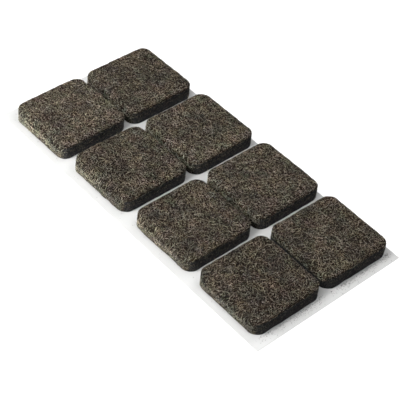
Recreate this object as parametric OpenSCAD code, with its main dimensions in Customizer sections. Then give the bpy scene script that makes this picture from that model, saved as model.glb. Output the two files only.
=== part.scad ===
// Sheet of self-adhesive felt pads for the feet of furniture, on its release liner.
// The origin is the centre of the liner's underside. +X runs along the rows of pads,
// +Y runs from the first column to the last, and +Z points up out of the felt.

/* [Felt pads] */
// Side of one square pad
pad_side = 28; // [20:0.5:60]
// Radius of a pad's four upright corners
corner_r = 3.5; // [1.5:0.1:8]
// Thickness of the felt
felt_t = 5; // [2.5:0.1:10]
// Radius of the soft edge round the top of the felt
edge_r = 0.6; // [0.2:0.1:1.2]

/* [Adhesive film] */
// Thickness of the adhesive film under each pad
film_t = 0.15; // [0.05:0.05:0.5]

/* [Sheet layout] */
// Number of rows along the sheet
rows = 4; // [1:1:7]
// Number of columns across the sheet
columns = 2; // [1:1:4]
// Gap between one row and the next
row_gap = 4; // [1:0.5:20]
// Gap between one column and the next
column_gap = 2.5; // [1:0.5:20]

/* [Release liner] */
// Thickness of the liner paper
liner_t = 0.12; // [0.05:0.01:0.5]
// Bare liner past the first row and past the last
end_margin = 4; // [0.5:0.1:30]
// Bare liner beside the first column
near_margin = 3.2; // [0.5:0.1:30]
// Bare liner beside the last column
far_margin = 1.6; // [0.5:0.1:30]

/* [Hidden] */
$fn = 96;
pad_count = rows * columns;
row_pitch = pad_side + row_gap;
column_pitch = pad_side + column_gap;
// Straight part of a pad's side, between two corners
side_run = pad_side - 2 * corner_r;

liner_l = pad_side + (rows - 1) * row_pitch + 2 * end_margin;
liner_w = near_margin + pad_side + (columns - 1) * column_pitch + far_margin;
// Centre of the pad in the first row and the first column
first_x = end_margin + pad_side / 2 - liner_l / 2;
first_y = near_margin + pad_side / 2 - liner_w / 2;

felt_colour = "#4f483e";
film_colour = "#d8cda9";
liner_colour = "#ecece8";

function felt_name(n) = str("felt_pad_", n);
function film_name(n) = str("adhesive_film_", n);

// Moves to where pad n stands, counted column by column along each row
module at_pad(n) {
    row = floor((n - 1) / columns);
    column = (n - 1) % columns;
    translate([first_x + row * row_pitch, first_y + column * column_pitch, liner_t])
        children();
}

// Block in the pad's outline, whose edge follows a section carried round it.
// The section stands on the axis of a corner and reaches out to the pad's edge.
module pad_block(height) {
    translate([-side_run / 2, -side_run / 2, 0])
        cube([side_run, side_run, height]);
    for (turn = [0:90:270])
        rotate(turn)
            translate([side_run / 2, side_run / 2, 0]) {
                rotate_extrude(angle = 90)
                    children();
                rotate([90, 0, 0])
                    linear_extrude(side_run)
                        children();
            }
}

// Section of the felt's edge: upright, with its top corner eased
module felt_section() {
    square([corner_r, felt_t - edge_r]);
    square([corner_r - edge_r, felt_t]);
    translate([corner_r - edge_r, felt_t - edge_r])
        intersection() {
            circle(edge_r);
            square(edge_r);
        }
}

// Paper that carries the pads, longer and wider than their grid
module release_liner() {
    color(liner_colour)
        translate([-liner_l / 2, -liner_w / 2, 0])
            cube([liner_l, liner_w, liner_t]);
}

// Sticky film between the felt and the liner, cut with the felt
module adhesive_film(n) {
    color(film_colour)
        at_pad(n)
            pad_block(film_t)
                square([corner_r, film_t]);
}

// Thick felt square that slides on the floor
module felt_pad(n) {
    color(felt_colour)
        at_pad(n)
            translate([0, 0, film_t])
                pad_block(felt_t)
                    felt_section();
}

release_liner();
for (n = [1:pad_count]) {
    adhesive_film(n);
    felt_pad(n);
}
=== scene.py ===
"""Looks of a sheet of self-adhesive felt pads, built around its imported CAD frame.

Each pad is a soft-edged block of matted wool with a fine relief, and its short wool fibres are real tubes
that lie on it. The liner is a sheet of coated paper with a shallow cut round each pad. The adhesive films
under the pads show once the pads are lifted off. Lengths are in metres where nothing else is said.
"""

import itertools
import logging
import math
from dataclasses import dataclass, field
from enum import Enum

import bpy
import numpy as np
from mathutils import Matrix, Vector


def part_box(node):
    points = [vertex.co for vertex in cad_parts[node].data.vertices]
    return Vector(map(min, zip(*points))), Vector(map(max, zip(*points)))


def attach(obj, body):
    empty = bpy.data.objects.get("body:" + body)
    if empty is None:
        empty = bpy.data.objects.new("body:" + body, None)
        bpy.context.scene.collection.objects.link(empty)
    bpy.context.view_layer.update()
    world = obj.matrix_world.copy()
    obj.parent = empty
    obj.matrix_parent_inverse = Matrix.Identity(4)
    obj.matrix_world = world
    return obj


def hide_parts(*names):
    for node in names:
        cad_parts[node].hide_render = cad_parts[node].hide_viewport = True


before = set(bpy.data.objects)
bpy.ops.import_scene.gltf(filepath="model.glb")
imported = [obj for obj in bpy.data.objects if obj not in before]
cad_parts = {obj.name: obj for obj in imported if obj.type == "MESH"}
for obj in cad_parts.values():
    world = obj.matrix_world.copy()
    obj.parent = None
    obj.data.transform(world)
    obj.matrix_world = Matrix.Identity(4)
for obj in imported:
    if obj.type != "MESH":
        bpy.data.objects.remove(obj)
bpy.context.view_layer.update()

MM = 0.001
CORNER = 3.5 * MM
FOOT_GAP = 0.03 * MM
SHARP_ANGLE = math.radians(10.0)
MAP_MARGIN = 0.03
TUBE_SIDES = 3
TUBE_TIP = 0.4
TUBE_LEAN = (0.31, 0.17, 0.93)
TUBE_MAP_MARGIN = 0.08
TUBE_MAP_SHAPE = 3
BAKE_MAP = "OFBake"
PLACE_MAP = "felt_place"
TONE = "wool_tone"
SHEARED_AND_SHADED = "sheared"
TONE_AND_PAINTED_LIGHT = "tone_and_painted_light"
Colour = tuple[float, float, float]
Range = tuple[float, float]
log = logging.getLogger("felt_pads")


class Wool(Enum):
    """Tones of the wool in the heather felt, from its darkest fibre to its palest, in linear light."""

    SOOT = (0.0082, 0.006, 0.0049)
    BARK = (0.0255, 0.016, 0.0105)
    EARTH = (0.061, 0.043, 0.0275)
    DRAB = (0.152, 0.124, 0.092)
    OAT = (0.790, 0.703, 0.553)


class NearEdge(Enum):
    """How a pad's near side looks: its rounded edge, how pale its wool is painted for the light on it, and
    where the painted shadow at its foot starts.
    """

    SOFT = (2.4 * MM, 2.2 * MM, 1.0, 0.86)
    MATTED = (1.6 * MM, 0.9 * MM, 1.5, 0.44)
    FIRM = (1.5 * MM, 0.9 * MM, 1.2, 0.31)

    def __init__(self, reach: float, drop: float, lift: float, foot: float) -> None:
        """Names the values.

        Args:
            reach: How far the round reaches in over the top.
            drop: How far the edge is pressed down.
            lift: How much paler the side's wool is painted for the light on it, next to that of the top.
            foot: Where the painted shadow at the foot starts, as a share of the way down the side.
        """
        self.reach, self.drop, self.lift, self.foot = reach, drop, lift, foot


@dataclass(frozen=True)
class Lay:
    """How one pad lies: its shift in millimetres, its turn in degrees, its brightness and its near edge.
    The brightness is partly the pad's own tone and partly painted light that varies across the sheet.
    """

    along: float
    across: float
    turn: float
    tone_and_painted_light: float
    near: NearEdge


# The fourth number of each lay scales the pad's wool: partly its own tone, partly painted light that
# varies from pad to pad.
PAD_LAYS = (
    Lay(-0.5, -0.3, 0.5, 1.05, NearEdge.SOFT), Lay(-0.5, -0.3, 0.3, 0.86, NearEdge.MATTED),
    Lay(-0.2, 0.4, 0.1, 0.85, NearEdge.SOFT), Lay(0.0, 0.2, 0.2, 0.905, NearEdge.MATTED),
    Lay(0.3, 0.4, 0.2, 0.91, NearEdge.SOFT), Lay(0.2, 0.5, -0.2, 0.95, NearEdge.MATTED),
    Lay(0.1, -0.1, -0.3, 0.8, NearEdge.SOFT), Lay(0.2, 0.0, -1.0, 0.86, NearEdge.FIRM),
)


class ReliefNoise:
    """Smooth random values through space, the same on every run."""

    def __init__(self, seed: int, cells: int = 32) -> None:
        """Draws the random lattice.

        Args:
            seed: Picks the random values.
            cells: Lattice points along each axis before the values repeat.
        """
        self.cells = cells
        self.lattice = np.random.default_rng(seed).uniform(-1.0, 1.0, (cells,) * 3)

    def at(self, places: np.ndarray, size: float) -> np.ndarray:
        """Reads the noise.

        Args:
            places: Points, with their coordinates along the last axis.
            size: Width of one bump, in the points' unit.

        Returns:
            One value from -1 to 1 for each point.
        """
        scaled = places / size
        low = np.floor(scaled).astype(int)
        share = scaled - low
        share = share * share * (3.0 - 2.0 * share)
        total = np.zeros(places.shape[:-1])
        for corner in itertools.product((0, 1), repeat=3):
            index = np.moveaxis((low + corner) % self.cells, -1, 0)
            weight = np.where(corner, share, 1.0 - share).prod(axis=-1)
            total += weight * self.lattice[tuple(index)]
        return total


def square_grid(side: float, steps: int) -> np.ndarray:
    """Lists the points of a square grid that is centred on the origin, row by row."""
    line = np.linspace(-side / 2, side / 2, steps + 1)
    return np.stack(np.meshgrid(line, line, indexing="xy"), axis=-1).reshape(-1, 2)


@dataclass(frozen=True)
class RoundedSquare:
    """Outline of a die-cut pad: a square with rounded corners, centred on the origin."""

    side: float
    corner: float

    def inset(self, by: float) -> "RoundedSquare":
        """Gives the outline that runs inside this one, at the same distance all round."""
        return RoundedSquare(self.side - 2 * by, self.corner - by)

    def reach(self, places: np.ndarray) -> np.ndarray:
        """How far each point lies past the square of the corners' axes, along X and Y."""
        return np.abs(places) - (self.side / 2 - self.corner)

    def distance(self, places: np.ndarray) -> np.ndarray:
        """Measures how far points lie outside the outline.

        Args:
            places: Points in the plane.

        Returns:
            Distances, negative inside the outline.
        """
        reach = self.reach(places)
        outside = np.linalg.norm(np.maximum(reach, 0.0), axis=-1)
        inside = np.minimum(reach.max(axis=-1), 0.0)
        return outside + inside - self.corner

    def outward(self, places: np.ndarray) -> np.ndarray:
        """Finds the way to the nearest edge.

        Args:
            places: Points in the plane.

        Returns:
            Unit vectors square to the outline.
        """
        reach = self.reach(places)
        pull = np.maximum(reach, 0.0)
        inner = ~pull.any(axis=-1, keepdims=True)
        nearest = reach >= reach.max(axis=-1, keepdims=True)
        pull = np.where(inner, nearest, pull) * np.where(places < 0.0, -1.0, 1.0)
        return pull / np.linalg.norm(pull, axis=-1, keepdims=True)

    def grid(self, steps: int) -> np.ndarray:
        """Fills the outline with a square grid whose corners are drawn in to the round.

        Args:
            steps: Cells along a side.

        Returns:
            Points in rows, (steps + 1) to a side.
        """
        places = square_grid(self.side, steps)
        share = self.reach(places) / self.corner
        in_corner = (share > 0.0).all(axis=-1)
        wide, tall = np.abs(share[in_corner]).T
        most = np.maximum(wide, tall)
        angle = np.where(wide >= tall, tall / most, 2.0 - wide / most) * math.pi / 4
        round_share = most[:, None] * np.stack([np.cos(angle), np.sin(angle)], axis=-1)
        axis = self.side / 2 - self.corner
        places[in_corner] = np.sign(places[in_corner]) * (axis + self.corner * round_share)
        return places


def grid_faces(steps: int) -> np.ndarray:
    """Lists the quads of a square grid.

    Args:
        steps: Cells along a side.

    Returns:
        Four corner indices for each quad, facing up.
    """
    row = steps + 1
    start = (np.arange(steps)[:, None] * row + np.arange(steps)).reshape(-1, 1)
    return start + np.array([0, 1, row + 1, row])


def grid_border(steps: int) -> np.ndarray:
    """Lists the border of a square grid, once round against the clock.

    Args:
        steps: Cells along a side.

    Returns:
        The border's indices in order.
    """
    row, run = steps + 1, np.arange(steps)
    return np.concatenate([run, run * row + steps, steps * row + steps - run, (steps - run) * row])


def ring_faces(inner: np.ndarray, outer: np.ndarray) -> np.ndarray:
    """Joins two closed rings of points.

    Args:
        inner: Indices of the first ring.
        outer: Indices of the second ring, in the same order.

    Returns:
        Four corner indices for each quad.
    """
    return np.stack([inner, outer, np.roll(outer, -1), np.roll(inner, -1)], axis=-1)


def ringed_grid_faces(steps: int, rings: int) -> tuple[np.ndarray, np.ndarray]:
    """Lists the quads of a square grid and of closed rings that follow it, each outside the one before.

    Args:
        steps: Cells along a side of the grid.
        rings: How many rings of points come after the grid's own points.

    Returns:
        Four corner indices for each quad, and the last ring's indices.
    """
    faces, ring = [grid_faces(steps)], grid_border(steps)
    for index in range(rings):
        outer = (steps + 1) ** 2 + index * len(ring) + np.arange(len(ring))
        faces.append(ring_faces(ring, outer))
        ring = outer
    return np.concatenate(faces), ring


def add_values(piece: bpy.types.Object, name: str, values: np.ndarray) -> None:
    """Stores one number or one triple at each point of a piece, for its material to read."""
    kind, key = ("FLOAT", "value") if values.ndim == 1 else ("FLOAT_VECTOR", "vector")
    attribute = piece.data.attributes.new(name, kind, "POINT")
    attribute.data.foreach_set(key, values.astype(np.float32).ravel())


def add_piece(
    name: str, points: np.ndarray, faces: list, maps: dict[str, np.ndarray] | None = None,
) -> bpy.types.Object:
    """Makes a smooth mesh object and puts it in the scene.

    Args:
        name: The piece's name.
        points: Corners in metres.
        faces: Corner indices of each face.
        maps: Texture places by map name, one for each face corner in order.

    Returns:
        The new object.
    """
    mesh = bpy.data.meshes.new(name)
    mesh.from_pydata(points.tolist(), [], faces)
    for map_name, places in (maps or {}).items():
        layer = mesh.uv_layers.new(name=map_name)
        layer.data.foreach_set("uv", np.asarray(places, np.float32).ravel())
    mesh.polygons.foreach_set("use_smooth", np.ones(len(mesh.polygons), bool))
    mesh.update()
    piece = bpy.data.objects.new(name, mesh)
    bpy.context.scene.collection.objects.link(piece)
    return piece


def closed_sheet(
    name: str, flat: np.ndarray, upper: np.ndarray, lower: np.ndarray, faces: np.ndarray,
) -> bpy.types.Object:
    """Makes a thin closed piece from one layer of quads, its back and a wall along its open border.

    An edge is open where no second quad runs along it the other way.

    Args:
        name: The piece's name.
        flat: The layer's corners in the plane.
        upper: Height of each corner on the upper face.
        lower: Height of each corner on the lower face.
        faces: Corner indices of the layer's quads, facing up.

    Returns:
        The new object, with its bake map laid out flat.
    """
    count = len(flat)
    edges = np.stack([faces, np.roll(faces, -1, axis=1)], axis=-1).reshape(-1, 2)
    start, end = edges[~np.isin(edges @ (count, 1), edges @ (1, count))].T
    walls = np.stack([end, start, start + count, end + count], axis=-1)
    size = np.ptp(flat, axis=0)
    margin = MAP_MARGIN * size.max()
    span = (size + 2 * margin) * (1, 2)
    laid = (flat - flat.min(axis=0) + margin) / span
    run = flat[end] - flat[start]
    fold = run[:, ::-1] * (1, -1) / np.linalg.norm(run, axis=-1, keepdims=True) * margin / 2 / span
    baked = np.concatenate([
        laid[faces].reshape(-1, 2), laid[faces[:, ::-1]].reshape(-1, 2) + (0.0, 0.5),
        np.stack([laid[end], laid[start], laid[start] + fold, laid[end] + fold], axis=1).reshape(-1, 2),
    ])
    points = np.concatenate([np.column_stack([flat, upper]), np.column_stack([flat, lower])])
    layers = np.concatenate([faces, faces[:, ::-1] + count, walls]).tolist()
    piece = add_piece(name, points, layers, {BAKE_MAP: baked})
    piece.data.set_sharp_from_angle(angle=SHARP_ANGLE)
    return piece


class Sketch:
    """Adds and joins the nodes of one shader tree."""

    def __init__(self, tree: bpy.types.NodeTree) -> None:
        """Starts on a tree."""
        self.tree = tree

    def feed(self, socket: bpy.types.NodeSocket, value: object) -> None:
        """Links a socket to another one, or sets its value. A plain colour is opaque."""
        if isinstance(value, bpy.types.NodeSocket):
            self.tree.links.new(value, socket)
        elif socket.type == "RGBA":
            socket.default_value = (*value, 1.0)
        else:
            socket.default_value = value

    def feed_all(self, node: bpy.types.Node, inputs: dict) -> None:
        """Links or sets several inputs of a node, by name or number."""
        for key, value in inputs.items():
            self.feed(node.inputs[key], value)

    def node(self, kind: str, inputs: dict | None = None, **settings: object) -> bpy.types.Node:
        """Adds a node.

        Args:
            kind: Blender's name of the node's type.
            inputs: Values or sockets by input name or number.
            settings: The node's own properties.

        Returns:
            The new node.
        """
        made = self.tree.nodes.new(kind)
        for key, value in settings.items():
            setattr(made, key, value)
        self.feed_all(made, inputs or {})
        return made

    def maths(self, operation: str, *values: object) -> bpy.types.NodeSocket:
        """Adds a Math node and returns its result."""
        return self.node("ShaderNodeMath", dict(enumerate(values)), operation=operation).outputs[0]

    def vector(self, operation: str, *values: object) -> bpy.types.NodeSocket:
        """Adds a Vector Math node and returns its vector."""
        return self.node("ShaderNodeVectorMath", dict(enumerate(values)), operation=operation).outputs[0]

    def scaled(self, value: object, factor: object) -> bpy.types.NodeSocket:
        """Multiplies a vector or a colour by one number."""
        return self.node("ShaderNodeVectorMath", {0: value, "Scale": factor}, operation="SCALE").outputs[0]

    def blend(
        self, share: object, first: object, second: object, mode: str = "MIX",
    ) -> bpy.types.NodeSocket:
        """Mixes two colours.

        Args:
            share: How much of the second colour shows.
            first: The first colour.
            second: The second colour.
            mode: Blender's name of the way they mix.

        Returns:
            The mixed colour.
        """
        share_input, first_input, second_input, result = 0, 6, 7, 2
        inputs = {share_input: share, first_input: first, second_input: second}
        return self.node("ShaderNodeMix", inputs, data_type="RGBA", blend_type=mode).outputs[result]

    def ease(self, value: object, start: object, end: object) -> bpy.types.NodeSocket:
        """Rises smoothly from 0 where value is start to 1 where it is end."""
        inputs = {"Value": value, "From Min": start, "From Max": end}
        return self.node("ShaderNodeMapRange", inputs, interpolation_type="SMOOTHSTEP").outputs[0]

    def noise(self, places: object, scale: float, detail: float = 2.0) -> bpy.types.NodeSocket:
        """Adds a noise texture and returns its value."""
        inputs = {"Vector": places, "Scale": scale, "Detail": detail}
        return self.node("ShaderNodeTexNoise", inputs).outputs["Fac"]

    def attribute(self, name: str, output: str) -> bpy.types.NodeSocket:
        """Reads what a piece stores at its points."""
        return self.node("ShaderNodeAttribute", attribute_name=name).outputs[output]

    def felt_place(self) -> bpy.types.NodeSocket:
        """Reads where on the felt a point lies, in millimetres."""
        return self.node("ShaderNodeUVMap", uv_map=PLACE_MAP).outputs[0]

    def object_place(self) -> bpy.types.NodeSocket:
        """Reads where in its piece a point lies."""
        return self.node("ShaderNodeTexCoord").outputs["Object"]

    def bumped(self, height: object, strength: float, depth: float) -> bpy.types.NodeSocket:
        """Turns a height into a normal."""
        inputs = {"Height": height, "Strength": strength, "Distance": depth}
        return self.node("ShaderNodeBump", inputs).outputs[0]


class Group:
    """A shader node group that several finishes share."""

    FLOAT, COLOUR, VECTOR = "NodeSocketFloat", "NodeSocketColor", "NodeSocketVector"

    def __init__(self, name: str, inputs: dict[str, str], outputs: dict[str, str]) -> None:
        """Makes the empty group with its sockets.

        Args:
            name: The group's name.
            inputs: Socket types by input name.
            outputs: Socket types by output name.
        """
        self.tree = bpy.data.node_groups.new(name, "ShaderNodeTree")
        for socket, kind in inputs.items():
            self.tree.interface.new_socket(socket, in_out="INPUT", socket_type=kind)
        for socket, kind in outputs.items():
            self.tree.interface.new_socket(socket, in_out="OUTPUT", socket_type=kind)
        self.sketch = Sketch(self.tree)
        self.given = self.sketch.node("NodeGroupInput").outputs
        self.result = self.sketch.node("NodeGroupOutput").inputs

    def place(self, sketch: Sketch, inputs: dict) -> dict[str, bpy.types.NodeSocket]:
        """Puts the group into a tree.

        Args:
            sketch: The tree's sketch.
            inputs: Values or sockets by input name.

        Returns:
            The group's outputs by name.
        """
        node = sketch.node("ShaderNodeGroup", inputs, node_tree=self.tree)
        return {socket.name: socket for socket in node.outputs}


@dataclass(frozen=True)
class StrokeLayer:
    """One layer of strokes in the felt's colour.

    The cell that holds a stroke is in millimetres. Half the stroke's width and half its length are shares
    of the cell, and cover is how much of the stroke shows.
    """

    cell: float
    width: float
    length: float
    cover: float


STROKE_LAYERS = (
    StrokeLayer(1.40, 0.15, 0.85, 0.85), StrokeLayer(1.10, 0.16, 0.80, 0.90),
    StrokeLayer(0.85, 0.18, 0.80, 0.90), StrokeLayer(1.20, 0.13, 0.90, 0.95),
    StrokeLayer(0.70, 0.19, 0.80, 1.00), StrokeLayer(1.00, 0.14, 0.90, 1.00),
    StrokeLayer(0.60, 0.21, 0.80, 1.00), StrokeLayer(0.80, 0.17, 0.85, 1.00),
)


@dataclass
class FeltGroups:
    """The node groups that the felt and its fibres share, with scales to the millimetre."""

    hue_scale: float = 0.30
    hue_detail: float = 1.5
    hue_range: Range = (0.3, 0.7)
    hue_tints: tuple[Colour, Colour] = ((0.88, 0.94, 0.87), (1.13, 1.06, 1.11))
    broad_scale: float = 0.13
    broad_range: Range = (0.30, 0.70)
    broad_tints: tuple[Colour, Colour] = ((0.67, 0.68, 0.68), (1.18, 1.15, 1.09))
    streak_scale: tuple[float, float, float] = (2.0, 0.35, 0.0)
    streak_range: Range = (0.25, 0.75)
    # Dark colour of the sheared faces: partly their own tone, partly painted shade on the sides turned
    # from the light.
    shaded_face_tones: tuple[Colour, Colour] = ((0.021, 0.023, 0.025), (0.056, 0.059, 0.062))
    face_shade_show: float = 0.7
    layer_shift: tuple[float, float, float] = (17.3, -11.9, 0.0)
    stroke_bow: float = 1.4
    stroke_core: float = 0.3
    stroke_tip: float = 0.7
    stroke_tone: float = 0.40
    stroke_height: float = 0.4
    ground_scale: float = 1.6
    ground_range: Range = (0.3, 0.75)
    ground_tone: float = 0.12
    ground_least: float = 0.01
    ground_height: float = 0.4
    tone: Group = field(init=False)
    patches: Group = field(init=False)
    strokes: Group = field(init=False)
    heather: Group = field(init=False)

    def __post_init__(self) -> None:
        """Builds the groups in the order that they need each other."""
        self.tone = self.build_tone()
        self.patches = self.build_patches()
        self.strokes = self.build_strokes()
        self.heather = self.build_heather()

    def build_tone(self) -> Group:
        """Makes the group that turns a value from 0 to 1 into a wool colour."""
        group = Group("wool_tone", {"Value": Group.FLOAT}, {"Colour": Group.COLOUR})
        ramp = group.sketch.node("ShaderNodeValToRGB", {"Fac": group.given["Value"]})
        stops = np.linspace(0.0, 1.0, len(Wool))
        elements = ramp.color_ramp.elements
        while len(elements) < len(stops):
            elements.new(0.5)
        for element, stop, wool in zip(elements, stops, Wool):
            element.position = stop
            element.color = (*wool.value, 1.0)
        group.sketch.feed(group.result["Colour"], ramp.outputs["Color"])
        return group

    def build_patches(self) -> Group:
        """Makes the group that tints wool in patches and blends it to a dark face colour where a blade
        sheared the felt, partly the cut face's own tone and partly painted shade.
        """
        inputs = {
            "Colour": Group.COLOUR, "Place": Group.VECTOR, "Sheared and shaded": Group.FLOAT, "Tone and painted light": Group.VECTOR,
        }
        group = Group("wool_patches", inputs, {"Colour": Group.COLOUR})
        draw, given = group.sketch, group.given
        hue = draw.node("ShaderNodeTexNoise", {
            "Vector": given["Place"], "Scale": self.hue_scale, "Detail": self.hue_detail,
        }).outputs["Color"]
        from_low, from_high, to_low, to_high = 7, 8, 9, 10
        spread = draw.node("ShaderNodeMapRange", {
            "Vector": hue, from_low: (self.hue_range[0],) * 3, from_high: (self.hue_range[1],) * 3,
            to_low: self.hue_tints[0], to_high: self.hue_tints[1],
        }, data_type="FLOAT_VECTOR", clamp=True).outputs["Vector"]
        broad = draw.ease(draw.noise(given["Place"], self.broad_scale), *self.broad_range)
        level = draw.blend(broad, *self.broad_tints)
        tint = draw.blend(1.0, level, spread, "MULTIPLY")
        tinted = draw.blend(1.0, given["Colour"], tint, "MULTIPLY")
        # Multiplies by what the piece stores: the pad's brightness with the painted light and shade of its
        # near side.
        colour = draw.vector("MULTIPLY", tinted, given["Tone and painted light"])
        along = draw.vector("MULTIPLY", given["Place"], self.streak_scale)
        streak = draw.ease(draw.noise(along, scale=1.0, detail=3.0), *self.streak_range)
        # Dark sheared face colour: partly the cut face's own tone, partly painted shade.
        face = draw.blend(streak, *self.shaded_face_tones)
        smooth = draw.maths("MULTIPLY", given["Sheared and shaded"], self.face_shade_show)
        draw.feed(group.result["Colour"], draw.blend(smooth, colour, face))
        return group

    def build_strokes(self) -> Group:
        """Makes the group that scatters short bowed strokes, one to a cell of a random mosaic."""
        inputs = {
            "Place": Group.VECTOR, "Cell": Group.FLOAT, "Width": Group.FLOAT,
            "Length": Group.FLOAT, "Layer": Group.FLOAT,
        }
        group = Group("wool_strokes", inputs, {"Mask": Group.FLOAT, "Tone": Group.FLOAT})
        draw, given = group.sketch, group.given
        moved = draw.vector("ADD", given["Place"], draw.scaled(self.layer_shift, given["Layer"]))
        in_cells = draw.scaled(moved, draw.maths("DIVIDE", 1.0, given["Cell"]))
        mosaic = draw.node("ShaderNodeTexVoronoi", {
            "Vector": in_cells, "Scale": 1.0,
        }, voronoi_dimensions="2D")
        from_centre = draw.vector("SUBTRACT", in_cells, mosaic.outputs["Position"])
        chance = draw.node("ShaderNodeSeparateColor", {"Color": mosaic.outputs["Color"]}).outputs
        turned = draw.node("ShaderNodeVectorRotate", {
            "Vector": from_centre, "Angle": draw.maths("MULTIPLY", chance["Red"], 2 * math.pi),
        }, rotation_type="Z_AXIS")
        along, across, _ = draw.node("ShaderNodeSeparateXYZ", {0: turned.outputs[0]}).outputs
        bow = draw.maths("MULTIPLY", draw.maths("SUBTRACT", chance["Blue"], 0.5), self.stroke_bow)
        bent = draw.maths("MULTIPLY_ADD", draw.maths("MULTIPLY", along, along), bow, across)
        core = draw.maths("MULTIPLY", given["Width"], self.stroke_core)
        beside = draw.ease(draw.maths("ABSOLUTE", bent), given["Width"], core)
        tip = draw.maths("MULTIPLY", given["Length"], self.stroke_tip)
        within = draw.ease(draw.maths("ABSOLUTE", along), given["Length"], tip)
        draw.feed(group.result["Mask"], draw.maths("MULTIPLY", beside, within))
        draw.feed(group.result["Tone"], chance["Green"])
        return group

    def build_heather(self) -> Group:
        """Makes the group that mats many strokes into heather felt, with a height for its relief."""
        outputs = {"Colour": Group.COLOUR, "Height": Group.FLOAT}
        group = Group("heather_felt", {"Place": Group.VECTOR}, outputs)
        draw, place = group.sketch, group.given["Place"]
        ground = draw.ease(draw.noise(place, self.ground_scale, detail=3.0), *self.ground_range)
        dark = draw.maths("MULTIPLY_ADD", ground, self.ground_tone, self.ground_least)
        colour = self.tone.place(draw, {"Value": dark})["Colour"]
        height = draw.maths("MULTIPLY", ground, self.ground_height)
        for number, layer in enumerate(STROKE_LAYERS, start=1):
            stroke = self.strokes.place(draw, {
                "Place": place, "Cell": layer.cell, "Width": layer.width, "Length": layer.length,
                "Layer": float(number),
            })
            shade = draw.maths("MULTIPLY", stroke["Tone"], self.stroke_tone)
            wool = self.tone.place(draw, {"Value": shade})["Colour"]
            share = draw.maths("MULTIPLY", stroke["Mask"], layer.cover)
            colour = draw.blend(share, colour, wool)
            above = draw.maths("MULTIPLY", share, draw.maths("ADD", self.stroke_height, stroke["Tone"]))
            height = draw.maths("MAXIMUM", height, above)
        draw.feed(group.result["Colour"], colour)
        draw.feed(group.result["Height"], height)
        return group

    def patched(self, draw: Sketch, colour: bpy.types.NodeSocket) -> bpy.types.NodeSocket:
        """Tints the wool of a material with the patches, from what its piece stores at its points.

        Args:
            draw: The material's sketch.
            colour: The wool's own colour.

        Returns:
            The tinted colour.
        """
        return self.patches.place(draw, {
            "Colour": colour, "Place": draw.felt_place(),
            "Sheared and shaded": draw.attribute(SHEARED_AND_SHADED, "Fac"), "Tone and painted light": draw.attribute(TONE_AND_PAINTED_LIGHT, "Vector"),
        })["Colour"]


def build_mottle() -> Group:
    """Makes the group that clouds a flat sheet's colour.

    Returns:
        The group, with the clouded colour and the clouds' own value.
    """
    inputs = {"Colour": Group.COLOUR, "Place": Group.VECTOR, "Scale": Group.FLOAT, "Depth": Group.FLOAT}
    group = Group("mottle", inputs, {"Colour": Group.COLOUR, "Value": Group.FLOAT})
    draw, given = group.sketch, group.given
    cloud = draw.noise(given["Place"], given["Scale"], detail=4.0)
    centred = draw.maths("MULTIPLY_ADD", cloud, 2.0, -1.0)
    shade = draw.maths("MULTIPLY_ADD", centred, given["Depth"], 1.0)
    draw.feed(group.result["Colour"], draw.scaled(given["Colour"], shade))
    draw.feed(group.result["Value"], cloud)
    return group


def new_material(name: str) -> tuple[bpy.types.Material, Sketch, bpy.types.Node]:
    """Starts a node material.

    Args:
        name: The material's name.

    Returns:
        The material, its sketch and its Principled shader.
    """
    material = bpy.data.materials.new(name)
    material.use_nodes = True
    shader = material.node_tree.nodes["Principled BSDF"]
    return material, Sketch(material.node_tree), shader


@dataclass(frozen=True)
class FeltFinish:
    """Matted heather wool of the pads' skin."""

    groups: FeltGroups
    roughness: float = 0.95
    specular: float = 0.08
    sheen: float = 0.03
    sheen_roughness: float = 0.6
    relief: float = 0.12 * MM
    relief_strength: float = 0.8

    def material(self) -> bpy.types.Material:
        """Builds the felt's material."""
        material, draw, shader = new_material("heather_felt")
        felt = self.groups.heather.place(draw, {"Place": draw.felt_place()})
        draw.feed_all(shader, {
            "Base Color": self.groups.patched(draw, felt["Colour"]),
            "Roughness": self.roughness, "Specular IOR Level": self.specular,
            "Sheen Weight": self.sheen, "Sheen Roughness": self.sheen_roughness,
            "Normal": draw.bumped(felt["Height"], self.relief_strength, self.relief),
        })
        return material


@dataclass(frozen=True)
class FibreFinish:
    """Single wool fibres, each in its own tone."""

    groups: FeltGroups
    roughness: float = 0.8
    specular: float = 0.25
    uneven: float = 0.3
    uneven_scale: float = 1500.0

    def material(self) -> bpy.types.Material:
        """Builds the fibres' material."""
        material, draw, shader = new_material("wool_fibre")
        noise = draw.noise(draw.object_place(), self.uneven_scale)
        change = draw.maths("MULTIPLY_ADD", noise, self.uneven, -self.uneven / 2)
        tone = draw.maths("ADD", draw.attribute(TONE, "Fac"), change)
        wool = self.groups.tone.place(draw, {"Value": tone})
        draw.feed_all(shader, {
            "Base Color": self.groups.patched(draw, wool["Colour"]),
            "Roughness": self.roughness, "Specular IOR Level": self.specular,
        })
        return material


@dataclass(frozen=True)
class LinerFinish:
    """White paper with a smooth release coat."""

    mottle: Group
    colour: Colour = (0.716, 0.716, 0.706)
    cloud_scale: float = 260.0
    cloud_depth: float = 0.05
    roughness: float = 0.43
    roughness_spread: float = 0.14
    specular: float = 0.35
    grain_scale: float = 2600.0
    grain_strength: float = 0.2
    grain_depth: float = 0.02 * MM

    def material(self) -> bpy.types.Material:
        """Builds the liner's material."""
        material, draw, shader = new_material("release_paper")
        place = draw.object_place()
        paper = self.mottle.place(draw, {
            "Colour": self.colour, "Place": place, "Scale": self.cloud_scale, "Depth": self.cloud_depth,
        })
        grain = draw.noise(place, self.grain_scale)
        draw.feed_all(shader, {
            "Base Color": paper["Colour"], "Specular IOR Level": self.specular,
            "Roughness": draw.maths("MULTIPLY_ADD", paper["Value"], self.roughness_spread, self.roughness),
            "Normal": draw.bumped(grain, self.grain_strength, self.grain_depth),
        })
        return material


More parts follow.
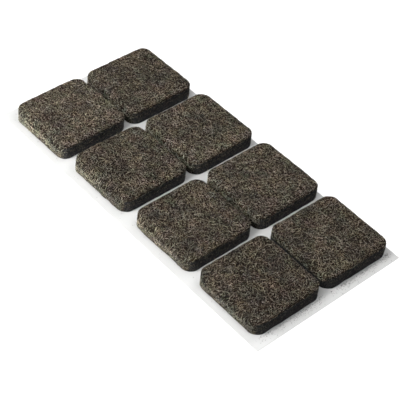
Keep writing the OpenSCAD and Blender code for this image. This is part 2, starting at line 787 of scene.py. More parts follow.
@dataclass(frozen=True)
class FilmFinish:
    """Tacky adhesive film with a fine scrim of threads in it."""

    mottle: Group
    colour: Colour = (0.60, 0.54, 0.40)
    cloud_scale: float = 420.0
    cloud_depth: float = 0.25
    thread: Colour = (0.74, 0.71, 0.60)
    threads_per_metre: float = 900.0
    thread_range: Range = (0.75, 0.97)
    thread_show: float = 0.55
    thread_height: float = 0.5
    roughness: float = 0.12
    roughness_spread: float = 0.25
    bump_strength: float = 0.3
    bump_depth: float = 0.05 * MM

    def material(self) -> bpy.types.Material:
        """Builds the film's material."""
        material, draw, shader = new_material("adhesive_film")
        place = draw.object_place()
        film = self.mottle.place(draw, {
            "Colour": self.colour, "Place": place, "Scale": self.cloud_scale, "Depth": self.cloud_depth,
        })
        turns = self.threads_per_metre * 2 * math.pi
        counted = draw.vector("MULTIPLY", place, (turns, turns, 0.0))
        rows = draw.node("ShaderNodeSeparateXYZ", {0: counted}).outputs
        ridges = [draw.ease(draw.maths("SINE", rows[axis]), *self.thread_range) for axis in ("X", "Y")]
        scrim = draw.maths("MULTIPLY", draw.maths("MAXIMUM", *ridges), self.thread_show)
        height = draw.maths("MULTIPLY_ADD", scrim, self.thread_height, film["Value"])
        draw.feed_all(shader, {
            "Base Color": draw.blend(scrim, film["Colour"], self.thread),
            "Roughness": draw.maths("MULTIPLY_ADD", film["Value"], self.roughness_spread, self.roughness),
            "Normal": draw.bumped(height, self.bump_strength, self.bump_depth),
        })
        return material


@dataclass(frozen=True)
class FloorFinish:
    """Plain white studio floor, which throws less light on the pads than it shows."""

    mottle: Group
    colour: Colour = (0.30, 0.30, 0.30)
    cloud_scale: float = 9.0
    cloud_depth: float = 0.01
    glow: float = 0.95

    def material(self) -> bpy.types.Material:
        """Builds the floor's material."""
        material, draw, shader = new_material("studio_floor")
        floor = self.mottle.place(draw, {
            "Colour": self.colour, "Place": draw.object_place(),
            "Scale": self.cloud_scale, "Depth": self.cloud_depth,
        })
        draw.feed_all(shader, {
            "Base Color": floor["Colour"], "Roughness": 1.0, "Specular IOR Level": 0.0,
        })
        glow = draw.node("ShaderNodeEmission", {"Strength": self.glow}).outputs[0]
        lit = draw.node("ShaderNodeAddShader", {0: shader.outputs[0], 1: glow}).outputs[0]
        seen = draw.node("ShaderNodeLightPath").outputs["Is Camera Ray"]
        surface = draw.node("ShaderNodeMixShader", {0: seen, 1: shader.outputs[0], 2: lit}).outputs[0]
        draw.feed(material.node_tree.nodes["Material Output"].inputs["Surface"], surface)
        return material


@dataclass(frozen=True)
class Bumps:
    """One size of bump in the felt's skin: its height, its width and where its noise is read."""

    height: float
    width: float
    shift: float


SKIN_BUMPS = (
    Bumps(0.05 * MM, 5.0 * MM, 0.0),
    Bumps(0.04 * MM, 1.2 * MM, 7.0 * MM),
    Bumps(0.03 * MM, 0.45 * MM, 3.0 * MM),
)
SIDE_BUMPS = Bumps(0.18 * MM, 2.4 * MM, 11.0 * MM)


@dataclass(frozen=True)
class FibreHabit:
    """How the short fibres lie on the felt, and how the long pale strays among them differ."""

    pitch: float = 0.365 * MM
    foot_gap: float = 0.2 * MM
    half_length: Range = (0.26 * MM, 0.74 * MM)
    radius: Range = (0.031 * MM, 0.056 * MM)
    bow: float = 0.13
    bow_middle: float = 0.33
    wave: float = 0.06
    arch: float = 0.20 * MM
    rise: Range = (-0.04 * MM, 0.08 * MM)
    tip_dip: float = 0.10 * MM
    pale_chance: float = 0.88
    dark_chance: float = 0.06
    pale_tone: Range = (0.78, 1.02)
    dark_tone: Range = (0.0, 0.18)
    patch_spread: float = 0.8
    edge_inset: float = 0.1 * MM
    edge_half: float = 0.45 * MM
    edge_turn: float = 0.35
    edge_loose: float = 0.5
    edge_stops: Range = (0.4, 0.7)
    sheared_share: float = 0.5
    sheared_hold: float = 0.85
    stray_share: float = 0.024
    stray_sheared: float = 0.1
    stray_length: float = 1.9
    stray_sway: float = 0.6
    stray_rise: float = 0.09 * MM
    stray_tone: Range = (0.85, 1.2)
    stray_radius: float = 0.85


@dataclass(frozen=True)
class HairHabit:
    """How a few stray hairs stand out of a pad's edges."""

    count: int = 36
    tries: int = 60
    spread: float = 2.0 * MM
    edge_outset: float = 0.3 * MM
    edge_half: float = 1.2 * MM
    outward: float = 0.7
    wander: float = 0.6
    curl: float = 0.5
    length: Range = (0.5 * MM, 1.2 * MM)
    reach: float = 0.9 * MM
    foot_gap: float = 0.1 * MM
    head_room: float = 0.5 * MM


@dataclass
class FeltPad:
    """One felt pad: its block of matted wool and the fibres on it."""

    number: int
    outline: RoundedSquare
    centre: Vector
    low: float
    high: float
    turn: float
    tone_and_painted_light: float
    near: NearEdge
    film_top: float
    fibre: FibreHabit = FibreHabit()
    hair: HairHabit = HairHabit()
    stations: int = 5
    ease: float = 0.40 * MM
    rise: float = 0.08 * MM
    steps: int = 96
    bend_rings: int = 4
    side_rings: int = 16
    side_stretch: float = 0.4
    skirt: float = 0.25 * MM
    near_most: float = 0.98
    # Painted light on the near side: its grey tint and how far it fades in over the top.
    painted_near_tint: Colour = (0.92, 1.0, 1.0)
    painted_near_fade: float = 1.2 * MM
    # Painted shadow at the near side's foot: how soft its top edge is and how dark it gets.
    painted_foot_blend: float = 0.12
    painted_foot_shade: float = 0.8
    cut_slope: float = 3.2
    cut_start: float = 0.85
    cut_least: float = 0.33
    seam_share: float = 0.42
    seam_half: float = 0.22 * MM
    seam_show: float = 0.5
    seam_wander: float = 0.15 * MM
    seam_wave: float = 3.0 * MM
    map_step: float = 50.0
    first_seed: int = 100
    noise: ReliefNoise = field(init=False)
    random: np.random.Generator = field(init=False)

    def __post_init__(self) -> None:
        """Seeds the pad's own relief and fibres."""
        self.noise = ReliefNoise(self.number)
        self.random = np.random.default_rng(self.first_seed + self.number)

    @property
    def body(self) -> str:
        """Name of the CAD body that the pad rides on."""
        return f"pad_{self.number}"

    @property
    def shoulder(self) -> RoundedSquare:
        """Outline of the flat top, where the eased edge starts."""
        return self.outline.inset(self.ease)

    @property
    def bend(self) -> float:
        """Length of the eased edge along its curve."""
        return self.ease * math.pi / 2

    @property
    def depth(self) -> float:
        """Length from the start of the eased edge down to the bottom of the side."""
        return self.bend + self.high - self.ease - self.low

    def wrap(self, flat: np.ndarray) -> tuple[np.ndarray, np.ndarray]:
        """Folds places laid out flat round the pad's top edge and down its sides.

        Args:
            flat: Points in the plane, measured from the pad's middle.

        Returns:
            Points on the felt's skin and the skin's normals there.
        """
        inner = self.shoulder
        past = np.clip(inner.distance(flat), 0.0, self.depth)[..., None]
        outward = inner.outward(flat)
        angle = np.minimum(past / self.ease, math.pi / 2)
        start = flat - outward * np.maximum(inner.distance(flat), 0.0)[..., None]
        across = start + outward * self.ease * np.sin(angle)
        drop = self.ease * (1.0 - np.cos(angle)) + np.maximum(past - self.bend, 0.0)
        points = np.concatenate([across, self.high - drop], axis=-1)
        normals = np.concatenate([outward * np.sin(angle), np.cos(angle)], axis=-1)
        return self.rounded_over(points, normals)

    def rounded_over(self, points: np.ndarray, normals: np.ndarray) -> tuple[np.ndarray, np.ndarray]:
        """Presses the block down along its near edge, which gives that edge a wide soft round.

        Args:
            points: Points on the block's skin.
            normals: The skin's normals there.

        Returns:
            The pressed points and their normals.
        """
        height = self.high - self.low
        reach, drop = self.near.reach, self.near.drop
        y, z = points[..., 1], points[..., 2]
        near = np.clip(1.0 - (self.outline.side / 2 + y) / reach, 0.0, self.near_most)
        arc = np.sqrt(1.0 - near**2)
        keep = 1.0 - drop / height * (1.0 - arc)
        steepness = drop / height * near / arc / reach
        rise = z - self.low
        pressed = np.stack([points[..., 0], y, self.low + rise * keep], axis=-1)
        tilt = normals[..., 1] - steepness * rise / keep * normals[..., 2]
        turned = np.stack([normals[..., 0], tilt, normals[..., 2] / keep], axis=-1)
        return pressed, turned / np.linalg.norm(turned, axis=-1, keepdims=True)

    def skin(self, flat: np.ndarray) -> tuple[np.ndarray, np.ndarray]:
        """Gives the felt's uneven skin.

        Args:
            flat: Points in the plane, measured from the pad's middle.

        Returns:
            Points on the skin with its relief, and normals.
        """
        points, normals = self.wrap(flat)
        bumps = sum(bump.height * self.noise.at(points + bump.shift, bump.width) for bump in SKIN_BUMPS)
        on_side = np.clip(self.shoulder.distance(flat) / self.bend, 0.0, 1.0)
        stretched = points * (1.0, 1.0, self.side_stretch) + SIDE_BUMPS.shift
        wander = SIDE_BUMPS.height * on_side * self.noise.at(stretched, SIDE_BUMPS.width)
        return points + normals * (bumps + wander + self.rise)[..., None], normals

    def cut_side(self, toward: np.ndarray) -> np.ndarray:
        """Tells which sides the blade cut, from how far they face it: 0 on matted ones, 1 on cut ones."""
        return np.clip(self.cut_slope * toward - self.cut_start, 0.0, 1.0)

    def by_cut_side(self, outward: np.ndarray) -> np.ndarray:
        """Tells which ways out of the pad lead to a side that the blade cut."""
        return self.cut_side(outward[..., 0] ** 2) > self.cut_least

    def sheared(self, flat: np.ndarray) -> np.ndarray:
        """Tells where a blade sheared the felt clean, and where shade is painted.

        That is on the two sides across the rows, all but the seam where the felt's two layers meet, whose
        dark colour is partly the cut face's own tone and partly painted shade, and at the foot of a firm
        near side, a painted shadow.

        Args:
            flat: Points in the plane, measured from the pad's middle.

        Returns:
            Values from 0 on the top and the soft sides to 1 on the sheared faces.
        """
        past = self.shoulder.distance(flat)
        down = np.clip(past / self.bend - 0.5, 0.0, 1.0)
        deep = np.concatenate([flat, np.zeros((*flat.shape[:-1], 1))], axis=-1)
        seam = self.seam_share * self.depth + self.seam_wander * self.noise.at(deep, self.seam_wave)
        line = np.exp(-(((past - seam) / self.seam_half) ** 2))
        toward = self.shoulder.outward(flat)[..., 0] ** 2
        # Painted shadow: the foot of a firm near side also takes the dark face colour.
        if self.near is NearEdge.FIRM:
            toward = toward + self.foot(flat)
        return down * self.cut_side(toward) * (1.0 - self.seam_show * line)

    def foot(self, flat: np.ndarray) -> np.ndarray:
        """Tells where the painted shadow at the near side's foot lies.

        Args:
            flat: Points in the plane, measured from the pad's middle.

        Returns:
            Values from 0 above the foot and on the other sides to 1 at the bottom.
        """
        toward = np.minimum(self.shoulder.outward(flat)[..., 1], 0.0) ** 2
        share = self.shoulder.distance(flat) / self.depth
        return toward * np.clip((share - self.near.foot) / self.painted_foot_blend, 0.0, 1.0)

    def tone_and_painted_light_at(self, flat: np.ndarray) -> np.ndarray:
        """Gives the wool's brightness, with painted light: paler and greyer down the near side, and a
        painted shadow at its foot.

        Args:
            flat: Points in the plane, measured from the pad's middle.

        Returns:
            What the wool's red, green and blue are multiplied by.
        """
        past = self.shoulder.distance(flat)
        toward = np.maximum(-self.shoulder.outward(flat)[..., 1], 0.0) ** 2
        side = toward * np.clip(1.0 + past / self.painted_near_fade, 0.0, 1.0)
        # Painted light: the near side's wool is made paler and greyer.
        change = np.array(self.painted_near_tint) * self.near.lift - 1.0
        # Painted shadow darkens the foot of the near side.
        shade = self.tone_and_painted_light * (1.0 - self.painted_foot_shade * self.foot(flat))
        return shade[..., None] * (1.0 + side[..., None] * change)

    def placed(self, points: np.ndarray) -> np.ndarray:
        """Moves points from the pad's middle to its place on the sheet."""
        cosine, sine = math.cos(self.turn), math.sin(self.turn)
        turned = points @ np.array([[cosine, sine, 0.0], [-sine, cosine, 0.0], [0.0, 0.0, 1.0]])
        return turned + np.array([self.centre.x, self.centre.y, 0.0])

    def map_places(self, flat: np.ndarray) -> np.ndarray:
        """Gives the places in millimetres where the pad's own part of the wool's pattern is read."""
        return flat / MM + self.map_step * self.number

    def build_block(self) -> bpy.types.Object:
        """Builds the closed block of felt.

        Returns:
            The felt piece.
        """
        inner = self.shoulder
        top = inner.grid(self.steps)
        border = grid_border(self.steps)
        outward = inner.outward(top[border])
        bend_rings = np.linspace(0.0, self.bend, self.bend_rings + 1)[1:]
        wall_rings = np.linspace(self.bend, self.depth, self.side_rings + 1)[1:]
        flats = [top] + [top[border] + outward * past for past in (*bend_rings, *wall_rings)]
        points, _ = self.skin(np.concatenate(flats))
        rim = points[-len(border):]
        tucked = rim - np.concatenate([outward * self.skirt, np.zeros((len(border), 1))], axis=-1)
        roof = np.column_stack([tucked[:, :2], np.full(len(border), self.film_top)])
        points = np.concatenate([points, tucked, roof])
        flat = np.concatenate([*flats, *(flats[-1] + step * outward * self.skirt for step in (1, 2))])
        quads, roof_ring = ringed_grid_faces(self.steps, len(flats) + 1)
        faces = [*quads.tolist(), roof_ring[::-1].tolist()]
        spread = self.outline.side + 2 * (self.depth + 3 * self.skirt)
        maps = {
            PLACE_MAP: self.map_places(flat[np.concatenate(faces)]),
            BAKE_MAP: self.bake_places(flat / spread + 0.5, faces, roof_ring),
        }
        piece = add_piece(f"felt_{self.number}", self.placed(points), faces, maps)
        add_values(piece, SHEARED_AND_SHADED, self.sheared(flat))
        add_values(piece, TONE_AND_PAINTED_LIGHT, self.tone_and_painted_light_at(flat))
        return piece

    def bake_places(self, places: np.ndarray, faces: list, roof: np.ndarray) -> np.ndarray:
        """Lays the block out on its bake map, with the hidden underside small in a corner.

        Args:
            places: Map place of each point.
            faces: Corner indices of each face.
            roof: Indices of the underside's points.

        Returns:
            Map places for each face corner.
        """
        laid = places[np.concatenate(faces)]
        corner, small = 0.02, 0.06
        laid[-len(roof):] = corner + laid[-len(roof):] * small
        return laid

    def fibre_spots(self) -> tuple[np.ndarray, np.ndarray]:
        """Scatters the fibres' middles over the skin, more thinly where it was sheared.

        Returns:
            Places laid out flat, and for every other one of them that it is likely to be pale.
        """
        random, pitch = self.random, self.fibre.pitch
        half = self.outline.side / 2 + self.depth - self.ease
        line = np.arange(-half, half, pitch)
        spots = np.stack(np.meshgrid(line, line), axis=-1).reshape(-1, 2)
        spots = spots + random.uniform(0.0, pitch, spots.shape)
        count = np.arange(len(line))
        paler = np.add.outer(count, count).ravel() % 2 == 0
        thinned = random.random(len(spots)) < self.sheared(spots) * (1.0 - self.fibre.sheared_share)
        kept = (self.shoulder.distance(spots) < self.depth - self.fibre.foot_gap) & ~thinned
        return spots[kept], paler[kept]

    def kept_to_face(self, flat: np.ndarray, spots: np.ndarray) -> np.ndarray:
        """Keeps fibres from crossing the crisp edge between the top and a sheared face.

        Args:
            flat: Points along each fibre, laid out flat.
            spots: The fibres' middles.

        Returns:
            The points, drawn back to the edge where they crossed it.
        """
        inner = self.shoulder
        past, outward = inner.distance(flat), inner.outward(flat)
        top_stop, side_stop = (share * self.bend for share in self.fibre.edge_stops)
        on_top = (inner.distance(spots) < self.bend / 2)[:, None]
        over = np.where(on_top, np.maximum(past - top_stop, 0.0), np.minimum(past - side_stop, 0.0))
        crossing = over * self.by_cut_side(outward)
        return flat - outward * crossing[..., None]

    def fibre_lines(self) -> tuple[np.ndarray, np.ndarray, np.ndarray, np.ndarray]:
        """Lays the fibres on the felt's skin.

        Returns:
            Points along each fibre, the same points laid out flat, which fibres are long pale strays, and
            the chance of each to be pale.
        """
        random, habit = self.random, self.fibre
        spots, paler = self.fibre_spots()
        count = len(spots)
        sheared, outward = self.sheared(spots), self.outline.outward(spots)
        by_edge = np.abs(self.outline.distance(spots) + habit.edge_inset) < habit.edge_half
        by_edge &= self.by_cut_side(outward)
        stray = (random.random(count) < habit.stray_share) & (sheared < habit.stray_sheared) & ~by_edge
        free = random.uniform(0.0, math.pi, count)
        level = np.arctan2(outward[:, 0], -outward[:, 1]) + random.normal(0.0, habit.edge_turn, count)
        angle = np.where(by_edge, level, free)
        along = np.stack([np.cos(angle), np.sin(angle)], axis=-1)
        across = np.stack([-along[:, 1], along[:, 0]], axis=-1)
        reach = random.uniform(*habit.half_length, count) * np.where(stray, habit.stray_length, 1.0)
        bow = random.normal(0.0, habit.bow, (count, 1))
        wave = random.normal(0.0, habit.wave, (count, 1))
        run = np.linspace(-1.0, 1.0, self.stations)
        sway = bow * (run**2 - habit.bow_middle) + wave * np.sin(math.pi * run)
        sway = sway * np.where(stray, habit.stray_sway, 1.0)[:, None]
        flat = spots[:, None] + reach[:, None, None] * (
            run[None, :, None] * along[:, None] + sway[..., None] * across[:, None]
        )
        flat = self.kept_to_face(flat, spots)
        points, normals = self.skin(flat)
        loose = np.where(by_edge, habit.edge_loose, 1.0 - habit.sheared_hold * sheared)
        arch = random.uniform(0.0, habit.arch, count) * loose
        base = random.uniform(*habit.rise, count) * loose + np.where(stray, habit.stray_rise, 0.0)
        lift = base[:, None] + arch[:, None] * (1.0 - run**2) - habit.tip_dip * run**4
        chance = np.where(paler, habit.pale_chance, habit.dark_chance)
        return points + normals * lift[..., None], flat, stray, chance

    def hair_lines(self) -> tuple[np.ndarray, np.ndarray]:
        """Grows a few stray hairs out of the felt's edges.

        Returns:
            Points along each hair, and its root, laid out flat, for each of them.
        """
        random, habit = self.random, self.hair
        half = self.outline.side / 2 + habit.spread
        tries = random.uniform(-half, half, (habit.tries * habit.count, 2))
        by_edge = np.abs(self.outline.distance(tries) - habit.edge_outset) < habit.edge_half
        kept = tries[by_edge][:habit.count]
        root, normal = self.skin(kept)
        way = normal * habit.outward + random.normal(0.0, habit.wander, root.shape)
        way /= np.linalg.norm(way, axis=-1, keepdims=True)
        curl = random.normal(0.0, habit.curl, root.shape)
        length = random.uniform(*habit.length, len(kept))[:, None, None]
        run = np.linspace(0.0, 1.0, self.stations)[None, :, None]
        lines = root[:, None] + length * (run * way[:, None] + run**2 * curl[:, None])
        over = np.maximum(self.outline.distance(lines[..., :2]) - habit.reach, 0.0)
        lines[..., :2] -= self.outline.outward(lines[..., :2]) * over[..., None]
        lines[..., 2] = np.clip(lines[..., 2], self.low + habit.foot_gap, self.high + habit.head_room)
        return lines, np.repeat(kept[:, None], self.stations, axis=1)

    def build_fibres(self) -> bpy.types.Object:
        """Builds the fibres and stray hairs as one piece of thin closed tubes.

        Returns:
            The fibre piece.
        """
        fibres, fibre_flat, stray, chance = self.fibre_lines()
        hairs, hair_flat = self.hair_lines()
        lines, flat = np.concatenate([fibres, hairs]), np.concatenate([fibre_flat, hair_flat])
        thin = np.concatenate([stray, np.ones(len(hairs), bool)])
        count, random, habit = len(lines), self.random, self.fibre
        radius = random.uniform(*habit.radius, count) * np.where(thin, habit.stray_radius, 1.0)
        pale = random.random(count) < np.concatenate([chance, np.ones(len(hairs))])
        light, dark = (random.uniform(*tones, count) for tones in (habit.pale_tone, habit.dark_tone))
        tone = np.where(pale, light, dark)
        tone = np.where(thin, np.maximum(tone, random.uniform(*habit.stray_tone, count)), tone)
        points, faces, baked = tube_bundle(lines, radius)
        mixed = self.map_places(flat.mean(axis=1)) + random.normal(0.0, habit.patch_spread, (count, 2))
        maps = {PLACE_MAP: np.repeat(mixed, len(baked) // count, axis=0), BAKE_MAP: baked}
        piece = add_piece(f"fibres_{self.number}", self.placed(points), faces, maps)
        add_values(piece, TONE, np.repeat(tone, len(points) // count))
        add_values(piece, SHEARED_AND_SHADED, tube_values(self.sheared(flat)))
        add_values(piece, TONE_AND_PAINTED_LIGHT, tube_values(self.tone_and_painted_light_at(flat)))
        return piece

    def dress(self, felt: bpy.types.Material, fibre: bpy.types.Material) -> None:
        """Builds the pad's pieces, gives them their finishes and puts them on their body.

        Args:
            felt: The felt's material.
            fibre: The fibres' material.
        """
        block, fibres = self.build_block(), self.build_fibres()
        for piece, material in ((block, felt), (fibres, fibre)):
            piece.data.materials.append(material)
            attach(piece, self.body)
            log.info("%s: %d faces", piece.name, len(piece.data.polygons))
        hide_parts(f"felt_pad_{self.number}")


def tube_bundle(lines: np.ndarray, radius: np.ndarray) -> tuple[np.ndarray, list, np.ndarray]:
    """Sweeps a thin closed tube, pointed at both ends, along each line.

    Args:
        lines: Points along each line, the same number on each.
        radius: Radius of each tube at its middle.

    Returns:
        Points, faces and bake places of all the tubes.
    """
    count, stations, _ = lines.shape
    rings, sides = stations - 2, TUBE_SIDES
    tangent = np.gradient(lines, axis=1)
    tangent /= np.linalg.norm(tangent, axis=-1, keepdims=True)
    beside = np.cross(tangent, np.array(TUBE_LEAN))
    beside /= np.linalg.norm(beside, axis=-1, keepdims=True)
    above = np.cross(beside, tangent)
    angle = np.arange(sides) * 2 * math.pi / sides + math.pi / 2
    offset = beside[:, :, None] * np.cos(angle)[:, None] + above[:, :, None] * np.sin(angle)[:, None]
    taper_at, taper_to = (0, 2, stations - 3, stations - 1), (TUBE_TIP, 1.0, 1.0, TUBE_TIP)
    taper = np.interp(np.arange(1, stations - 1), taper_at, taper_to)
    thick = radius[:, None, None, None] * taper[None, :, None, None]
    body = (lines[:, 1:-1, None] + offset[:, 1:-1] * thick).reshape(count, rings * sides, 3)
    points = np.concatenate([lines[:, :1], body, lines[:, -1:]], axis=1)

    last = rings * sides + 1
    ring = 1 + np.arange(rings)[:, None] * sides + np.arange(sides)
    turned = np.roll(ring, -1, axis=1)
    caps = [[0, int(turned[0, side]), int(ring[0, side])] for side in range(sides)]
    caps += [[last, int(ring[-1, side]), int(turned[-1, side])] for side in range(sides)]
    walls = np.stack([ring[:-1], turned[:-1], turned[1:], ring[1:]], axis=-1).reshape(-1, 4).tolist()
    pattern = walls + caps
    per_tube = points.shape[1]
    faces = [[corner + tube * per_tube for corner in face] for tube in range(count) for face in pattern]

    steps, around = np.meshgrid(np.arange(rings - 1), np.arange(sides), indexing="ij")
    wall_places = np.stack([
        np.stack([steps + 1 + far, around + up], axis=-1) for far, up in ((0, 0), (0, 1), (1, 1), (1, 0))
    ], axis=2).reshape(-1, 2)
    ends = ((0, 1, 1, 0), (rings + 1, rings, 0, 1))
    cap_places = [
        place for tip, base, first, second in ends for side in range(sides)
        for place in ((tip, side + 0.5), (base, side + first), (base, side + second))
    ]
    cell = np.concatenate([wall_places, np.array(cap_places)]) / np.array([rings + 1, sides])
    columns = math.ceil(math.sqrt(count / TUBE_MAP_SHAPE))
    rows = math.ceil(count / columns)
    spot = np.stack([np.arange(count) % columns, np.arange(count) // columns], axis=-1)
    inner = TUBE_MAP_MARGIN + cell * (1 - 2 * TUBE_MAP_MARGIN)
    places = (spot[:, None] + inner[None]) / np.array([columns, rows])
    return points.reshape(-1, 3), faces, places.reshape(-1, 2)


def tube_values(values: np.ndarray) -> np.ndarray:
    """Spreads values given along each line over the points of a bundle of tubes.

    Args:
        values: One value at each point along each line.

    Returns:
        One value for each point of the bundle.
    """
    rings = np.repeat(values[:, 1:-1], TUBE_SIDES, axis=1)
    return np.concatenate([values[:, :1], rings, values[:, -1:]], axis=1).reshape(-1, *values.shape[2:])


@dataclass
class AdhesiveFilm:
    """The adhesive film under one pad."""

    pad: FeltPad
    low: float
    high: float
    inset: float = 0.3 * MM
    steps: int = 40
    wave: float = 0.02 * MM
    wave_width: float = 2.2 * MM
    wave_inset: float = 1.0 * MM
    first_seed: int = 50

    def build(self) -> bpy.types.Object:
        """Builds the thin closed film with a slightly uneven tacky face.

        Returns:
            The film piece.
        """
        pad = self.pad
        outline = pad.outline.inset(self.inset)
        flat = outline.grid(self.steps)
        noise = ReliefNoise(self.first_seed + pad.number)
        deep = np.column_stack([flat, np.zeros(len(flat))])
        inside = np.clip(-outline.distance(flat) / self.wave_inset, 0.0, 1.0)
        waves = self.wave * np.maximum(noise.at(deep, self.wave_width), 0.0) * inside
        placed = pad.placed(deep)[:, :2]
        upper = np.full(len(flat), self.high)
        return closed_sheet(f"film_{pad.number}", placed, upper, self.low + waves, grid_faces(self.steps))

    def dress(self, film: bpy.types.Material) -> None:
        """Builds the film, gives it its finish and puts it on its pad's body.

        Args:
            film: The film's material.
        """
        piece = self.build()
        piece.data.materials.append(film)
        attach(piece, self.pad.body)
        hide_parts(f"adhesive_film_{self.pad.number}")
        log.info("%s: %d faces", piece.name, len(piece.data.polygons))


@dataclass
class ReleaseLiner:
    """The sheet of coated paper that carries the pads, with the die's shallow cut round each of them."""

    low: Vector
    high: Vector
    pads: list[FeltPad]
    steps: int = 32
    cut_half: float = 0.12 * MM
    cut_depth: float = 0.05 * MM
    margin_rings: int = 3
    merge_within: float = 0.0001 * MM

    def tile(self, pad: FeltPad, low: np.ndarray, high: np.ndarray) -> tuple[np.ndarray, np.ndarray]:
        """Lays the paper under and round one pad.

        Args:
            pad: The pad.
            low: The tile's lowest corner in the plane.
            high: The tile's highest corner.

        Returns:
            The tile's points and its quads.
        """
        inner = pad.outline.inset(self.cut_half)
        flat = inner.grid(self.steps)
        border = grid_border(self.steps)
        outward = inner.outward(flat[border])
        bottom = flat[border] + outward * self.cut_half
        brim = bottom + outward * self.cut_half
        heights = (self.high.z, self.high.z - self.cut_depth, self.high.z)
        under, cut, rim = (
            pad.placed(np.column_stack([ring, np.full(len(ring), height)]))
            for ring, height in zip((flat, bottom, brim), heights)
        )
        square = square_grid(1.0, self.steps)[border] + 0.5
        frame_ring = np.column_stack([low + square * (high - low), np.full(len(border), self.high.z)])
        shares = np.linspace(0.0, 1.0, self.margin_rings + 1)[1:]
        rings = [cut, rim] + [rim + (frame_ring - rim) * share for share in shares]
        faces, _ = ringed_grid_faces(self.steps, len(rings))
        return np.concatenate([under, *rings]), faces

    def build(self) -> bpy.types.Object:
        """Builds the closed sheet of paper, one tile to a pad.

        Returns:
            The liner piece.
        """
        centres = np.array([pad.centre.xy for pad in self.pads])
        half = self.pads[0].outline.side / 2
        edges = []
        for axis in (0, 1):
            ordered = np.sort(centres[:, axis])
            steps = np.diff(ordered)
            split = (ordered[1:] + ordered[:-1])[steps > half] / 2
            edges.append(np.concatenate([[self.low[axis]], split, [self.high[axis]]]))
        points, faces = [], []
        start = 0
        for pad, centre in zip(self.pads, centres):
            place = [np.searchsorted(edge, value) for edge, value in zip(edges, centre)]
            low = np.array([edge[index - 1] for edge, index in zip(edges, place)])
            high = np.array([edge[index] for edge, index in zip(edges, place)])
            tile, quads = self.tile(pad, low, high)
            points.append(tile)
            faces.append(quads + start)
            start += len(tile)
        points = np.concatenate(points)
        keys = np.round(points / self.merge_within).astype(int)
        _, first, merged = np.unique(keys, axis=0, return_index=True, return_inverse=True)
        points = points[first]
        quads = merged.ravel()[np.concatenate(faces)]
        lower = np.full(len(points), self.low.z)
        return closed_sheet("liner_paper", points[:, :2], points[:, 2], lower, quads)

    def dress(self, paper: bpy.types.Material) -> None:
        """Builds the liner, gives it its finish and puts it on its body.

        Args:
            paper: The liner's material.
        """
        piece = self.build()
        piece.data.materials.append(paper)
        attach(piece, "sheet")
        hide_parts("release_liner")
        log.info("%s: %d faces", piece.name, len(piece.data.polygons))


@dataclass
class Lint:
    """Loose bits of wool that the pads shed on the liner, most of them in front of the last row."""

    liner_low: Vector
    liner_high: Vector
    pads: list[FeltPad]
    tries: int = 160000
    clear: float = 0.55 * MM
    fall: float = 0.9 * MM
    elsewhere: float = 0.03
    margin: float = 0.4 * MM
    half_length: Range = (0.05 * MM, 0.28 * MM)
    radius: Range = (0.025 * MM, 0.055 * MM)
    bow: float = 0.5
    tone: Range = (0.0, 0.25)
    stations: int = 6
    seed: int = 7

    def spots(self, random: np.random.Generator) -> np.ndarray:
        """Picks where the lint lies.

        Args:
            random: Source of the random places.

        Returns:
            Points on the liner, clear of the pads.
        """
        low, high = np.array(self.liner_low.xy) + self.margin, np.array(self.liner_high.xy) - self.margin
        places = random.uniform(low, high, (self.tries, 2))
        centres = np.array([pad.centre.xy for pad in self.pads])
        gaps = self.pads[0].outline.distance(places[:, None] - centres).min(axis=1)
        front = centres[:, 0].max() + self.pads[0].outline.side / 2
        share = np.where(places[:, 0] > front, 1.0, self.elsewhere) * np.exp(-gaps / self.fall)
        return places[(gaps > self.clear) & (random.random(self.tries) < share)]

    def dress(self, fibre: bpy.types.Material) -> None:
        """Lays the lint and puts it on the sheet's body.

        Args:
            fibre: The wool fibres' material.
        """
        random = np.random.default_rng(self.seed)
        spots = self.spots(random)
        count = len(spots)
        angle = random.uniform(0.0, 2 * math.pi, (count, 1))
        way = np.stack([np.cos(angle), np.sin(angle)], axis=-1)
        side = np.stack([-np.sin(angle), np.cos(angle)], axis=-1)
        reach = random.uniform(*self.half_length, (count, 1, 1))
        bow = random.normal(0.0, self.bow, (count, 1, 1))
        run = np.linspace(-1.0, 1.0, self.stations)[None, :, None]
        flat = spots[:, None] + reach * (run * way + bow * run**2 * side)
        radius = random.uniform(*self.radius, count)
        level = np.broadcast_to(self.liner_high.z + radius[:, None, None], (*flat.shape[:2], 1))
        points, faces, baked = tube_bundle(np.concatenate([flat, level], axis=-1), radius)
        maps = {PLACE_MAP: np.repeat(spots / MM, len(baked) // count, axis=0), BAKE_MAP: baked}
        piece = add_piece("lint", points, faces, maps)
        tone = np.repeat(random.uniform(*self.tone, count), len(points) // count)
        for name, values in ((TONE, tone), (SHEARED_AND_SHADED, 0.0 * tone), (TONE_AND_PAINTED_LIGHT, np.ones((len(tone), 3)))):
            add_values(piece, name, values)
        piece.data.materials.append(fibre)
        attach(piece, "sheet")
        log.info("%s: %d bits", piece.name, count)


@dataclass(frozen=True)
class SoftBox:
    """A square soft light that faces the object.

    Its azimuth and elevation are in degrees, and azimuth 0 is in front of the sheet's near side.
    """

    name: str
    azimuth: float
    elevation: float
    distance: float
    size: float
    watts: float


SOFT_BOXES = (
    SoftBox("overhead", -88.0, 69.0, 0.90, 0.54, 1.40),
    SoftBox("key", -8.0, 49.0, 0.47, 0.16, 1.10),
    SoftBox("upper", 0.0, 66.0, 0.70, 0.25, 1.06),
    SoftBox("low", -27.0, 7.0, 0.29, 0.11, 1.66),
    SoftBox("far", 178.0, 50.0, 0.70, 0.22, 0.95),
    SoftBox("end", 100.0, 62.0, 0.32, 0.12, 0.20),
)


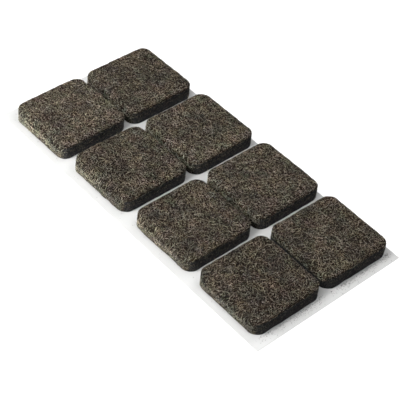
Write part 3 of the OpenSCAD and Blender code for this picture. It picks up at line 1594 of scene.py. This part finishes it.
@dataclass
class Studio:
    """White floor, soft lights and the camera at the photograph's angle."""

    middle: Vector
    azimuth: float = math.radians(44.26)
    elevation: float = math.radians(44.60)
    roll: float = math.radians(6.56)
    distance: float = 418.2 * MM
    aim: Vector = field(default_factory=lambda: Vector((7.35, -4.06, 0.0)) * MM)
    lens: float = 112.94
    sensor: float = 36.0
    clip: Range = (0.01, 50.0)
    room: Colour = (0.011, 0.014, 0.018)
    backdrop: Colour = (1.0, 1.0, 1.0)
    floor_half: float = 4.0
    floor_gap: float = 0.02 * MM

    def build_camera(self) -> None:
        """Sets the camera up where the photograph was taken from."""
        camera = bpy.data.objects.new("camera", bpy.data.cameras.new("camera"))
        camera.data.lens = self.lens
        camera.data.sensor_width = self.sensor
        camera.data.clip_start, camera.data.clip_end = self.clip
        back = self.direction(self.azimuth, self.elevation)
        target = self.middle + self.aim
        turn = (-back).to_track_quat("-Z", "Y").to_matrix() @ Matrix.Rotation(self.roll, 3, "Z")
        camera.matrix_world = Matrix.Translation(target + back * self.distance) @ turn.to_4x4()
        bpy.context.scene.collection.objects.link(camera)
        bpy.context.scene.camera = camera

    @staticmethod
    def direction(azimuth: float, elevation: float) -> Vector:
        """Points from the object to a place at that azimuth and elevation."""
        level = math.cos(elevation)
        return Vector((math.sin(azimuth) * level, -math.cos(azimuth) * level, math.sin(elevation)))

    def build_light(self, box: SoftBox) -> None:
        """Hangs one soft box.

        Args:
            box: The light and where it hangs.
        """
        data = bpy.data.lights.new(box.name, "AREA")
        data.shape, data.size, data.energy = "SQUARE", box.size, box.watts
        lamp = bpy.data.objects.new(box.name, data)
        toward = self.direction(math.radians(box.azimuth), math.radians(box.elevation))
        turn = (-toward).to_track_quat("-Z", "Y").to_matrix().to_4x4()
        lamp.matrix_world = Matrix.Translation(self.middle + toward * box.distance) @ turn
        bpy.context.scene.collection.objects.link(lamp)

    def build_lights(self) -> None:
        """Hangs the soft boxes and dims the room."""
        for box in SOFT_BOXES:
            self.build_light(box)
        world = bpy.data.worlds.new("room")
        world.use_nodes = True
        draw = Sketch(world.node_tree)
        background = world.node_tree.nodes["Background"]
        seen = draw.node("ShaderNodeLightPath").outputs["Is Camera Ray"]
        draw.feed(background.inputs["Color"], draw.blend(seen, self.room, self.backdrop))
        bpy.context.scene.world = world
        bpy.context.scene.view_settings.view_transform = "Standard"

    def build_floor(self, finish: bpy.types.Material) -> None:
        """Lays the floor just under the liner.

        Args:
            finish: The floor's material.
        """
        half = self.floor_half
        around = ((-half, -half), (half, -half), (half, half), (-half, half))
        corners = np.array([(*corner, -self.floor_gap) for corner in around])
        floor = add_piece("floor", corners, [[0, 1, 2, 3]])
        floor.data.materials.append(finish)


def main() -> None:
    """Builds the pads, films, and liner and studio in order."""
    logging.basicConfig(level=logging.INFO, format="%(name)s %(message)s")
    numbers = range(1, sum(name.startswith("felt_pad_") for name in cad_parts) + 1)
    groups, mottle = FeltGroups(), build_mottle()
    felt, fibre = FeltFinish(groups).material(), FibreFinish(groups).material()
    film, paper = FilmFinish(mottle).material(), LinerFinish(mottle).material()

    liner_low, liner_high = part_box("release_liner")
    lows, highs = zip(*(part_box(f"felt_pad_{number}") for number in numbers))
    middle = (Vector(map(min, *lows)) + Vector(map(max, *highs))) / 2
    middle.z = liner_high.z
    studio = Studio(middle)
    studio.build_camera()

    pads = []
    for number, low, high, lay in zip(numbers, lows, highs, PAD_LAYS):
        film_low, film_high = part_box(f"adhesive_film_{number}")
        outline = RoundedSquare(high.x - low.x, CORNER)
        centre = (low + high) / 2 + Vector((lay.along, lay.across, 0.0)) * MM
        turn = math.radians(lay.turn)
        foot = film_low.z + FOOT_GAP
        pad = FeltPad(number, outline, centre, foot, high.z, turn, lay.tone_and_painted_light, lay.near, film_top=film_high.z)
        pad.dress(felt, fibre)
        AdhesiveFilm(pad, film_low.z, film_high.z).dress(film)
        pads.append(pad)

    ReleaseLiner(liner_low, liner_high, pads).dress(paper)
    Lint(liner_low, liner_high, pads).dress(fibre)
    studio.build_lights()
    studio.build_floor(FloorFinish(mottle).material())


if __name__ == "__main__":
    main()
